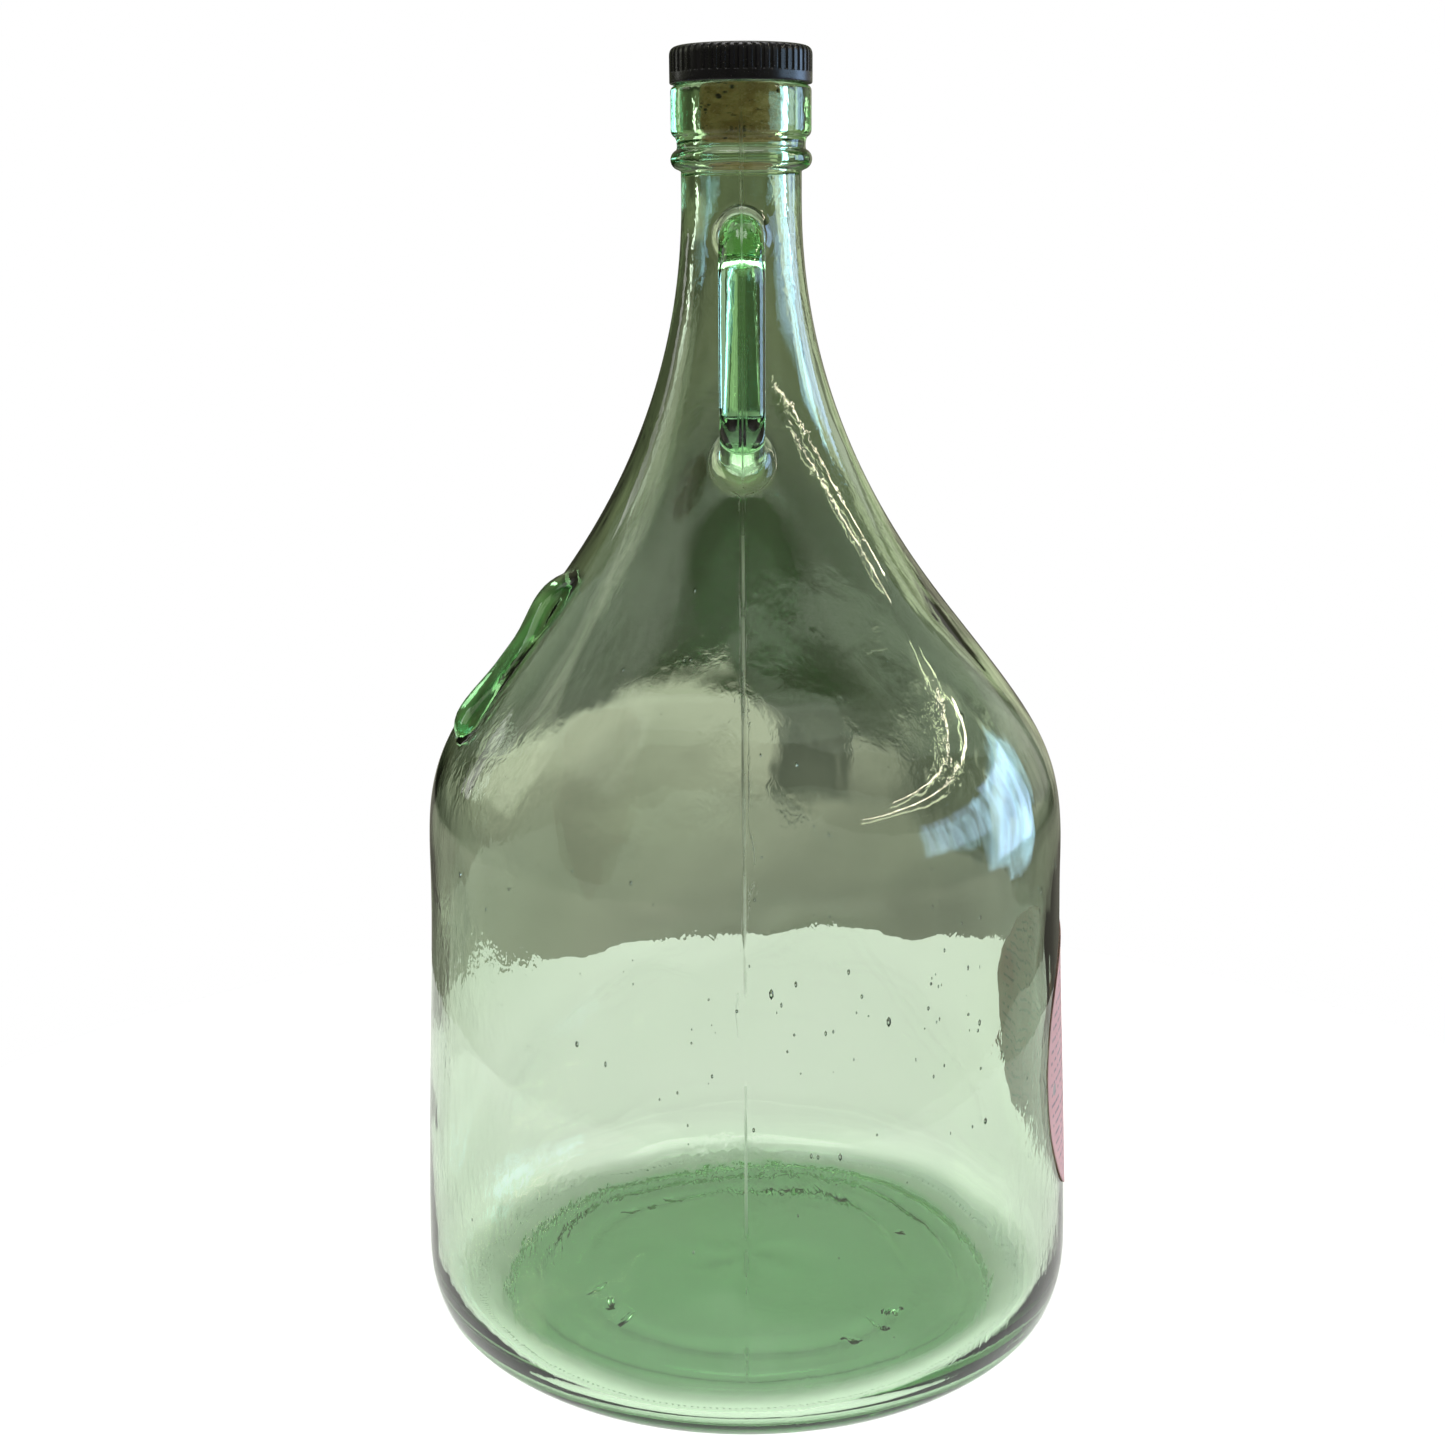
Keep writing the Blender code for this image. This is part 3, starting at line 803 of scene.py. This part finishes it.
class Tree:
    """Adds nodes to one node tree. An input is a number, a colour or another node's output."""

    def __init__(self, tree):
        self.tree = tree
        tree.nodes.clear()

    def add(self, kind, inputs=None, **settings):
        made = self.tree.nodes.new(kind)
        for name, value in settings.items():
            setattr(made, name, value)
        for key, value in (inputs or {}).items():
            self.set(made.inputs[key], value)
        return made

    def set(self, socket, value):
        if isinstance(value, bpy.types.NodeSocket):
            self.tree.links.new(value, socket)
        else:
            socket.default_value = value

    def calc(self, operation, *values, clamp=False):
        made = self.tree.nodes.new("ShaderNodeMath")
        made.operation = operation
        made.use_clamp = clamp
        for socket, value in zip(made.inputs, values):
            self.set(socket, value)
        return made.outputs[0]

    def step(self, value, low, high):
        """0 below low, 1 above high, smooth between."""
        made = self.add("ShaderNodeMapRange", {"Value": value, "From Min": low, "From Max": high})
        made.interpolation_type = "SMOOTHSTEP"
        made.clamp = True
        return made.outputs[0]

    def both(self, *masks):
        """The masks multiplied: 1 where all of them are 1."""
        product = masks[0]
        for mask in masks[1:]:
            product = self.calc("MULTIPLY", product, mask)
        return product

    def distance(self, across, up):
        squared = self.calc("ADD", self.calc("MULTIPLY", across, across), self.calc("MULTIPLY", up, up))
        return self.calc("SQRT", squared)

    def dot(self, direction, axis):
        made = self.add("ShaderNodeVectorMath", {0: direction, 1: axis}, operation="DOT_PRODUCT")
        return made.outputs["Value"]

    def mix(self, share, first, second):
        made = self.add("ShaderNodeMix", data_type="RGBA")
        self.set(made.inputs[0], share)
        self.set(made.inputs[6], first)
        self.set(made.inputs[7], second)
        return made.outputs[2]

    def noise(self, where, scale, detail=3.0, roughness=0.55, distortion=0.0):
        inputs = {"Vector": where, "Scale": scale, "Detail": detail}
        inputs.update({"Roughness": roughness, "Distortion": distortion})
        return self.add("ShaderNodeTexNoise", inputs).outputs[0]

    def stretched(self, where, scale):
        return self.add("ShaderNodeMapping", {"Vector": where, "Scale": scale}).outputs[0]

    def bump(self, height, strength, distance, normal=None):
        inputs = {"Height": height, "Strength": strength, "Distance": distance}
        if normal is not None:
            inputs["Normal"] = normal
        return self.add("ShaderNodeBump", inputs).outputs[0]


def new_material(name):
    """A material with its node tree, its shader and the place on the object. The tree keeps its output."""
    material = bpy.data.materials.new(name)
    material.use_nodes = True
    tree = Tree(material.node_tree)
    shader = tree.add("ShaderNodeBsdfPrincipled")
    tree.output = tree.add("ShaderNodeOutputMaterial", {"Surface": shader.outputs[0]})
    where = tree.add("ShaderNodeTexCoord").outputs["Object"]
    return material, tree, shader, where


def colour(red, green, blue):
    return (red, green, blue, 1.0)


# ---------------------------------------------------------------- materials


def glass_material():
    material, tree, shader, where = new_material("green_glass")
    shader.inputs["Transmission Weight"].default_value = 1.0
    shader.inputs["IOR"].default_value = 1.5
    cloud = tree.noise(where, 35, 3)
    specks = tree.noise(where, 1500, 2)
    rough = tree.calc("MULTIPLY_ADD", tree.step(cloud, 0.45, 0.75), 0.012, 0.002)
    rough = tree.calc("MULTIPLY_ADD", tree.step(specks, 0.66, 0.74), 0.05, rough)
    x, y, height = tree.add("ShaderNodeSeparateXYZ", {0: where}).outputs
    # The mould seam is fire-polished less than the rest, so it scatters a little light.
    from_plane = tree.calc("ABSOLUTE", x)
    broken = tree.noise(tree.stretched(where, (0.1, 0.1, 1)), 70, 2)
    on_seam = tree.both(
        tree.step(from_plane, 0.30 * MM, 0.18 * MM),
        tree.step(height, 12 * MM, 20 * MM),
        tree.step(broken, 0.30, 0.66),
    )
    rough = tree.calc("MULTIPLY_ADD", on_seam, 0.5, rough)
    # The foot is thick, greener glass; its tint inside the standing ring is also painted shade for the dark
    # recess under the base.
    foot_tint_and_painted_shade = tree.both(tree.step(height, 17 * MM, 14 * MM), tree.step(tree.distance(x, y), 74 * MM, 70 * MM))
    base = tree.mix(foot_tint_and_painted_shade, colour(0.995, 1.0, 0.99), colour(0.74, 1.0, 0.77))
    # The finger loop's bar and the shoulder grip are thick, greener glass too.
    on_bar = tree.both(tree.step(y, -30 * MM, -36 * MM), tree.step(height, 245 * MM, 262 * MM))
    base = tree.mix(on_bar, base, colour(0.80, 1.0, 0.88))
    across = tree.calc("ABSOLUTE", tree.dot(where, Vector((-math.sin(GRIP_TURN), math.cos(GRIP_TURN), 0))))
    on_grip = tree.both(
        tree.step(across, GRIP_HALF_WIDTH, GRIP_HALF_WIDTH - 1.5 * MM),
        tree.step(x, -30 * MM, -36 * MM),
        tree.step(height, GRIP_START, GRIP_START + 3 * MM),
        tree.step(height, GRIP_END, GRIP_END - 3 * MM),
    )
    base = tree.mix(on_grip, base, colour(0.45, 0.96, 0.55))
    tree.set(shader.inputs["Base Color"], base)
    # What the carboy stands on is scuffed.
    scuffed = tree.step(height, 1.4 * MM, 0.6 * MM)
    rough = tree.calc("MAXIMUM", rough, tree.calc("MULTIPLY", scuffed, 0.5))
    tree.set(shader.inputs["Roughness"], rough)
    # Slow ripples all over, and a finer chill from the mould in patches and on the neck.
    ripple = tree.noise(tree.stretched(where, (1, 1, 0.3)), 90, 2, 0.5, 0.3)
    chill = tree.noise(tree.stretched(where, (1, 1, 0.6)), 300, 2, 0.6, 0.5)
    patches = tree.step(tree.noise(where, 22, 2, 0.6), 0.47, 0.62)
    on_neck = tree.calc("MULTIPLY", tree.step(height, 270 * MM, 310 * MM), 1.6)
    patches = tree.calc("MAXIMUM", patches, on_neck)
    normal = tree.bump(ripple, 1.0, 0.06 * MM)
    normal = tree.bump(tree.both(chill, patches), 1.0, 0.06 * MM, normal)
    tree.set(shader.inputs["Normal"], normal)
    tint = tree.add("ShaderNodeVolumeAbsorption")
    tint.inputs["Color"].default_value = colour(0.35, 0.925, 0.275)
    tint.inputs["Density"].default_value = 40.0
    tree.set(tree.output.inputs["Volume"], tint.outputs[0])
    return material


def plastic_material():
    material, tree, shader, where = new_material("black_plastic")
    cloud = tree.noise(where, 160, 4)
    dust = tree.noise(where, 2600, 2, 0.5)
    patches = tree.noise(where, 90, 2)
    dust_share = tree.calc("MULTIPLY", tree.step(dust, 0.69, 0.74), tree.step(patches, 0.42, 0.62))
    base = tree.mix(cloud, colour(0.006, 0.005, 0.009), colour(0.016, 0.013, 0.022))
    base = tree.mix(tree.calc("MULTIPLY", dust_share, 0.55), base, colour(0.32, 0.30, 0.28))
    tree.set(shader.inputs["Base Color"], base)
    rough = tree.calc("MULTIPLY_ADD", cloud, 0.22, 0.16)
    rough = tree.calc("MULTIPLY_ADD", dust_share, 0.4, rough)
    tree.set(shader.inputs["Roughness"], rough)
    scratch = tree.noise(tree.stretched(where, (1, 1, 9)), 900, 3)
    normal = tree.bump(scratch, 0.35, 0.00003)
    normal = tree.bump(dust_share, 0.4, 0.00005, normal)
    tree.set(shader.inputs["Normal"], normal)
    return material


def cork_material():
    material, tree, shader, where = new_material("cork_grain")
    pit = tree.add("ShaderNodeAttribute", attribute_name="pit").outputs["Fac"]
    squashed = tree.stretched(where, (1, 1, 1.8))
    patches = tree.noise(squashed, 260, 4, 0.6, 0.3)
    grain = tree.noise(squashed, 1400, 3, 0.65)
    streak = tree.noise(tree.stretched(where, (1, 1, 4)), 220, 3, 0.6, 0.8)
    base = tree.mix(tree.step(patches, 0.35, 0.68), colour(0.50, 0.25, 0.10), colour(0.80, 0.48, 0.25))
    base = tree.mix(tree.calc("MULTIPLY", tree.step(grain, 0.52, 0.7), 0.6), base, colour(0.92, 0.66, 0.42))
    dark_streaks = tree.calc("MULTIPLY", tree.step(streak, 0.60, 0.68), 0.75)
    base = tree.mix(dark_streaks, base, colour(0.16, 0.06, 0.025))
    base = tree.mix(tree.step(pit, 0.05, 0.5), base, colour(0.045, 0.016, 0.007))
    tree.set(shader.inputs["Base Color"], base)
    tree.set(shader.inputs["Roughness"], tree.calc("MULTIPLY_ADD", grain, 0.25, 0.68))
    normal = tree.bump(grain, 0.6, 0.0002)
    normal = tree.bump(streak, 0.4, 0.0002, normal)
    tree.set(shader.inputs["Normal"], normal)
    return material


def glue_material():
    material, tree, shader, where = new_material("dried_glue")
    cloud = tree.noise(where, 420, 4)
    base = tree.mix(tree.step(cloud, 0.3, 0.7), colour(0.52, 0.40, 0.22), colour(0.78, 0.70, 0.50))
    tree.set(shader.inputs["Base Color"], base)
    tree.set(shader.inputs["Roughness"], tree.calc("MULTIPLY_ADD", cloud, 0.3, 0.25))
    tree.set(shader.inputs["Normal"], tree.bump(cloud, 0.5, 0.0003))
    return material


def row_noise(tree, u, across, row_number, row_step):
    """Smooth noise along each printed row, different from row to row."""
    along = tree.calc("MULTIPLY", u, across)
    row = tree.calc("MULTIPLY", row_number, row_step)
    where = tree.add("ShaderNodeCombineXYZ", {0: along, 1: row}).outputs[0]
    return tree.add("ShaderNodeTexNoise", {"Vector": where, "Scale": 1.0, "Detail": 0.0}).outputs[0]


def paper_material():
    """Pink paper with rows of plain grey dashes, a worn grey patch and a browned edge."""
    material, tree, shader, where = new_material("pink_paper")
    uv = tree.add("ShaderNodeUVMap", uv_map="print").outputs[0]
    split = tree.add("ShaderNodeSeparateXYZ", {0: uv})
    u, v = split.outputs[0], split.outputs[1]
    fibre = tree.noise(where, 1800, 4, 0.7)
    mottle = tree.noise(where, 130, 4)
    base = tree.mix(mottle, colour(0.78, 0.38, 0.40), colour(0.90, 0.52, 0.52))
    base = tree.mix(tree.calc("MULTIPLY", tree.step(fibre, 0.55, 0.75), 0.3), base, colour(0.96, 0.74, 0.72))
    row_count, words_across, letters_across = 26.0, 34.0, 190.0
    row = tree.calc("MULTIPLY", v, row_count)
    in_row = tree.calc("FRACT", row)
    row_number = tree.calc("FLOOR", row)
    line = tree.calc("MULTIPLY", tree.step(in_row, 0.28, 0.36), tree.step(in_row, 0.64, 0.56))
    words = row_noise(tree, u, words_across, row_number, 7.3)
    letters = row_noise(tree, u, letters_across, row_number, 3.1)
    dash = tree.both(tree.step(words, 0.42, 0.45), tree.step(letters, 0.36, 0.42))
    reach = tree.distance(tree.calc("SUBTRACT", u, 0.5), tree.calc("SUBTRACT", v, 0.5))
    printed_area = tree.step(reach, 0.47, 0.455)
    ink = tree.both(line, dash, printed_area)
    base = tree.mix(tree.calc("MULTIPLY", ink, 0.62), base, colour(0.16, 0.13, 0.14))
    spot = tree.distance(tree.calc("SUBTRACT", u, 0.085), tree.calc("SUBTRACT", v, 0.49))
    spot = tree.calc("MULTIPLY_ADD", tree.noise(where, 420, 3), 0.02, spot)
    worn = tree.step(spot, 0.036, 0.028)
    base = tree.mix(tree.calc("MULTIPLY", worn, 0.7), base, colour(0.42, 0.40, 0.37))
    browned = tree.calc("MULTIPLY", tree.step(reach, 0.488, 0.5), 0.6)
    base = tree.mix(browned, base, colour(0.45, 0.20, 0.19))
    tree.set(shader.inputs["Base Color"], base)
    tree.set(shader.inputs["Roughness"], tree.calc("MULTIPLY_ADD", fibre, 0.2, 0.62))
    shader.inputs["Sheen Weight"].default_value = 0.08
    normal = tree.bump(fibre, 0.5, 0.00008)
    normal = tree.bump(mottle, 0.4, 0.0003, normal)
    tree.set(shader.inputs["Normal"], normal)
    return material


# ---------------------------------------------------------------- studio


def floor_material():
    material, tree, shader, where = new_material("studio_floor")
    cloud = tree.noise(where, 3, 2)
    base = tree.mix(cloud, colour(0.70, 0.71, 0.69), colour(0.74, 0.74, 0.73))
    tree.set(shader.inputs["Base Color"], base)
    shader.inputs["Roughness"].default_value = 0.9
    shader.inputs["Specular IOR Level"].default_value = 0.1
    # A soft even glow of its own, plus painted light: a brighter ring round the foot, strongest in front of
    # it, that lifts the shade there.
    reach = tree.add("ShaderNodeVectorMath", {0: where}, operation="LENGTH").outputs["Value"]
    painted_light_ring = tree.both(tree.step(reach, 68 * MM, 80 * MM), tree.step(reach, 135 * MM, 95 * MM))
    painted_light_front = tree.step(tree.add("ShaderNodeSeparateXYZ", {0: where}).outputs[1], 20 * MM, -50 * MM)
    painted_light_ring = tree.calc("MULTIPLY", painted_light_ring, tree.calc("MULTIPLY_ADD", painted_light_front, 0.45, 0.20))
    even_glow_and_painted_light = tree.calc("ADD", painted_light_ring, 0.15)
    # The camera sees the floor a little paler than the glass does, as a lit sweep would look.
    camera_ray = tree.add("ShaderNodeLightPath").outputs["Is Camera Ray"]
    shader.inputs["Emission Color"].default_value = colour(1.0, 1.0, 1.0)
    tree.set(shader.inputs["Emission Strength"], tree.calc("MULTIPLY_ADD", camera_ray, 0.34, even_glow_and_painted_light))
    return material


def studio_floor():
    """A plain pale disc that the carboy stands on."""
    shape = bmesh.new()
    bmesh.ops.create_circle(shape, cap_ends=True, segments=160, radius=335 * MM)
    mesh = bpy.data.meshes.new("studio_floor")
    shape.to_mesh(mesh)
    shape.free()
    floor = bpy.data.objects.new("studio_floor", mesh)
    floor.location = (0, 0, -0.2 * MM)
    bpy.context.scene.collection.objects.link(floor)
    mesh.materials.append(floor_material())


# Soft panels of light that the glass mirrors: azimuth, elevation, half width, half height and softness in
# degrees, then tint and strength. Azimuth 0 is the camera's side, -Y, and 90 is +X.
WARM_LINE = (1.0, 0.93, 0.70)
PANELS = (
    (180, 52, 50, 8, 8, (1.0, 0.99, 0.93), 1.2),
    (175, -13, 4, 2.6, 0.8, (1.0, 1.05, 0.84), 0.10),
    (111, 4, 11, 13, 2, (0.46, 0.68, 1.0), 7.0),
    (82, 8, 14, 6, 3, (0.50, 0.74, 1.0), 5.0),
    (82, 27, 36, 0.2, 0.2, WARM_LINE, 34.0),
    (88, 31, 26, 0.15, 0.2, WARM_LINE, 26.0),
    (-106, 22, 11, 11, 4, (0.95, 1.0, 0.76), 1.5),
    (-122, 12, 3, 9, 1, (1.0, 1.0, 0.96), 2.5),
    (-82, 46, 24, 7, 5, (0.95, 1.0, 0.80), 0.7),
    (135, 5, 9, 10, 3, (1.0, 0.98, 0.86), 0.5),
    (158, 2, 6, 12, 3, (1.0, 1.0, 0.72), 0.6),
)

# The room from low to high: the sine of the elevation where a band starts and where it is full, then its
# strength and tint. First the far floor, then a darker room, a pale band, a dark one and the upper room.
PALE, OLIVE = (1.02, 1.0, 0.80), (0.92, 1.0, 0.58)
BANDS = (
    (-0.60, -0.42, 0.36, PALE),
    (-0.350, -0.325, 0.23, PALE),
    (-0.290, -0.232, 0.34, PALE),
    (-0.215, -0.185, 0.025, OLIVE),
    (-0.12, -0.03, 0.105, OLIVE),
    (0.05, 0.25, 0.16, OLIVE),
    (0.70, 0.80, 0.10, OLIVE),
)


def scaled(tint, strength):
    return colour(*[channel * strength for channel in tint])


def panel_share(tree, direction, up, azimuth, elevation, half_width, half_height, soft):
    """1 inside a panel, 0 outside it, soft at its edge."""
    turn = math.radians(azimuth)
    ahead = tree.dot(direction, Vector((math.sin(turn), -math.cos(turn), 0)))
    side = tree.dot(direction, Vector((math.cos(turn), math.sin(turn), 0)))
    across = tree.calc("ABSOLUTE", tree.calc("ARCTAN2", side, ahead))
    above = tree.calc("ABSOLUTE", tree.calc("SUBTRACT", up, math.radians(elevation)))
    wide, tall, edge = (math.radians(v) for v in (half_width, half_height, soft))
    return tree.both(tree.step(across, wide + edge, wide), tree.step(above, tall + edge, tall))


def studio_world():
    """A soft studio: white all round for the camera, a graded room with soft panels for the glass."""
    world = bpy.data.worlds.new("studio")
    bpy.context.scene.world = world
    world.use_nodes = True
    tree = Tree(world.node_tree)
    direction = tree.add("ShaderNodeTexCoord").outputs["Generated"]
    z = tree.add("ShaderNodeSeparateXYZ", {0: direction}).outputs[2]
    light = colour(0.62, 0.62, 0.56)
    for low, high, strength, tint in BANDS:
        light = tree.mix(tree.step(z, low, high), light, scaled(tint, strength))
    uneven = tree.noise(direction, 1.7, 2.0, 0.5)
    uneven = tree.calc("MULTIPLY_ADD", tree.step(uneven, 0.36, 0.64), 0.9, 0.6)
    light = tree.add("ShaderNodeVectorMath", {0: light, 3: uneven}, operation="SCALE").outputs[0]
    streaks = tree.noise(tree.stretched(direction, (1, 1, 0.12)), 16, 2, 0.5)
    streaks = tree.calc("MULTIPLY_ADD", tree.step(streaks, 0.36, 0.58), 0.6, 0.4)
    up = tree.calc("ARCSINE", z)
    for *place, tint, strength in PANELS:
        share = tree.both(panel_share(tree, direction, up, *place), streaks)
        light = tree.mix(share, light, scaled(tint, strength))
    # A bright ceiling right overhead
    light = tree.mix(tree.step(z, 0.925, 0.945), light, colour(4.5, 4.5, 4.45))
    camera_ray = tree.add("ShaderNodeLightPath").outputs["Is Camera Ray"]
    seen = tree.mix(camera_ray, light, colour(1, 1, 1))
    background = tree.add("ShaderNodeBackground", {"Color": seen, "Strength": 1.0})
    tree.add("ShaderNodeOutputWorld", {"Surface": background.outputs[0]})


FRAME_SIZE = 1445
FOCAL_LENGTH = 2100
CAMERA_PLACE = (0, -588.8 * MM, 316.4 * MM)
LOOKS_DOWN, LOOKS_LEFT, ROLL = 13.36, 0.6, -0.41


def studio_camera():
    """The camera in front of the carboy, looking a little down at it."""
    data = bpy.data.cameras.new("camera")
    data.sensor_width = 36.0
    data.lens = data.sensor_width * FOCAL_LENGTH / FRAME_SIZE
    data.clip_start = 0.01
    camera = bpy.data.objects.new("camera", data)
    bpy.context.scene.collection.objects.link(camera)
    camera.location = CAMERA_PLACE
    aim = Euler((math.radians(90 - LOOKS_DOWN), 0, math.radians(LOOKS_LEFT)), "XYZ").to_matrix()
    roll = Matrix.Rotation(math.radians(ROLL), 3, "Z")
    camera.rotation_euler = (aim @ roll).to_euler()
    bpy.context.scene.camera = camera


# ---------------------------------------------------------------- assembly

studio_camera()
studio_world()
studio_floor()
bpy.context.scene.view_settings.view_transform = "Standard"

PIECES = (
    (glass_vessel, glass_material, "vessel", "glass_vessel", "pale_green_glass"),
    (paper_label, paper_material, "vessel", "paper_label", "pink_paper"),
    (stopper_head, plastic_material, "stopper", "stopper_head", "black_plastic"),
    (glue_blob, glue_material, "stopper", "glue_disc", "clear_glue"),
    (cork_shank, cork_material, "stopper", "cork_shank", "cork"),
)
for build, finish, body, node, slot in PIECES:
    piece = build(finish())
    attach(piece, body)
    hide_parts(node)
